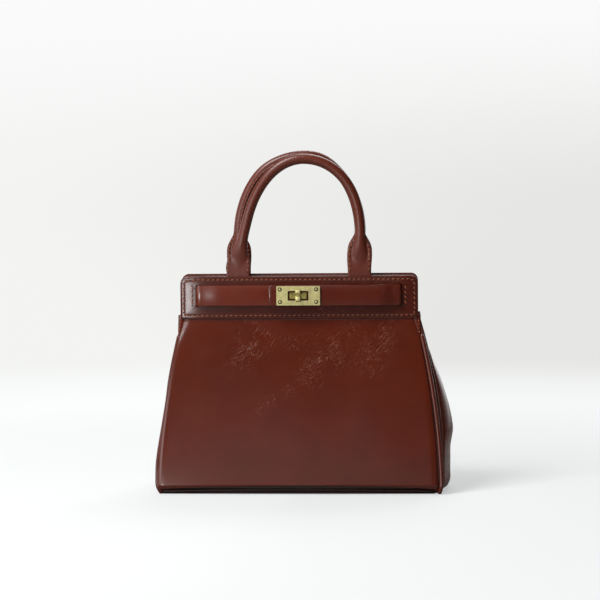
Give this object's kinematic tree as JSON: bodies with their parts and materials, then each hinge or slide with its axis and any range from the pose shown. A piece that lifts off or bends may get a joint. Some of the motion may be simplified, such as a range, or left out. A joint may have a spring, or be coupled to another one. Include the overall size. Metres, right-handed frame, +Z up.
{
  "type": "top handle bag",
  "caption": "Small structured leather bag with bulging gussets, piped side seams, two rolled top handles and a strap with a turn lock on its front band.",
  "frame": {"origin": "middle of the base, on the surface that the bag stands on", "axes": "+Z up, the front with the strap faces -Y, +X to the right as seen from the front"},
  "size_m": [0.2638, 0.104, 0.2924],
  "materials": {
    "body_leather": "glossy, smooth, dark red-brown",
    "strap_leather": "glossy, smooth, red-brown",
    "handle_leather": "glossy, rolled, dark red-brown",
    "facing_leather": "satin, dark red-brown",
    "board": "matt bonded leather board",
    "lining_cloth": "matt twill",
    "cord": "matt twisted cord",
    "antique_brass": "satin antique brass",
    "plated_steel": "satin"
  },
  "bodies": {
    "bag_body": {"base_panel": "body_leather", "base_board": "board", "base_lining": "lining_cloth", "back_panel": "body_leather", "back_band": "body_leather", "back_stiffener": "board", "back_facing": "facing_leather", "back_lining": "lining_cloth", "slip_pocket": "lining_cloth", "back_snap_pad": "facing_leather", "snap_socket": "plated_steel", "back_tab_roots": "strap_leather", "left_gusset": "body_leather", "right_gusset": "body_leather", "left_back_piping": "body_leather", "right_back_piping": "body_leather"},
    "front_wall": {"front_panel": "body_leather", "front_band": "body_leather", "front_stiffener": "board", "front_facing": "facing_leather", "front_lining": "lining_cloth", "front_snap_pad": "facing_leather", "front_tab_roots": "strap_leather", "snap_stud": "plated_steel", "left_front_piping": "body_leather", "right_front_piping": "body_leather", "strap_under": "strap_leather", "strap_over": "strap_leather", "lock_plate": "antique_brass", "lock_back_plate": "plated_steel", "lock_screws": "antique_brass", "lock_boss": "antique_brass", "lock_washer": "plated_steel"},
    "front_handle": {"front_handle_cover": "handle_leather", "front_handle_core": "cord"},
    "back_handle": {"back_handle_cover": "handle_leather", "back_handle_core": "cord"},
    "toggle": {"lock_toggle": "antique_brass"}
  },
  "joints": [
    {"name": "mouth_open", "type": "hinge", "parent": "bag_body", "child": "front_wall", "pos_m": [0, -0.05, 0.0015], "axis": [1, 0, 0], "range_deg": [0, 10]},
    {"name": "front_handle_fold", "type": "hinge", "parent": "front_wall", "child": "front_handle", "pos_m": [0, -0.0063, 0.186], "axis": [1, 0, 0], "range_deg": [0, 80], "stiffness_Nm_per_rad": 0.05},
    {"name": "back_handle_fold", "type": "hinge", "parent": "bag_body", "child": "back_handle", "pos_m": [0, 0.0063, 0.188], "axis": [-1, 0, 0], "range_deg": [0, 80], "stiffness_Nm_per_rad": 0.05},
    {"name": "toggle_turn", "type": "hinge", "parent": "front_wall", "child": "toggle", "pos_m": [0, -0.0193, 0.1673], "axis": [0, 1, 0], "range_deg": [0, 90]}
  ]
}
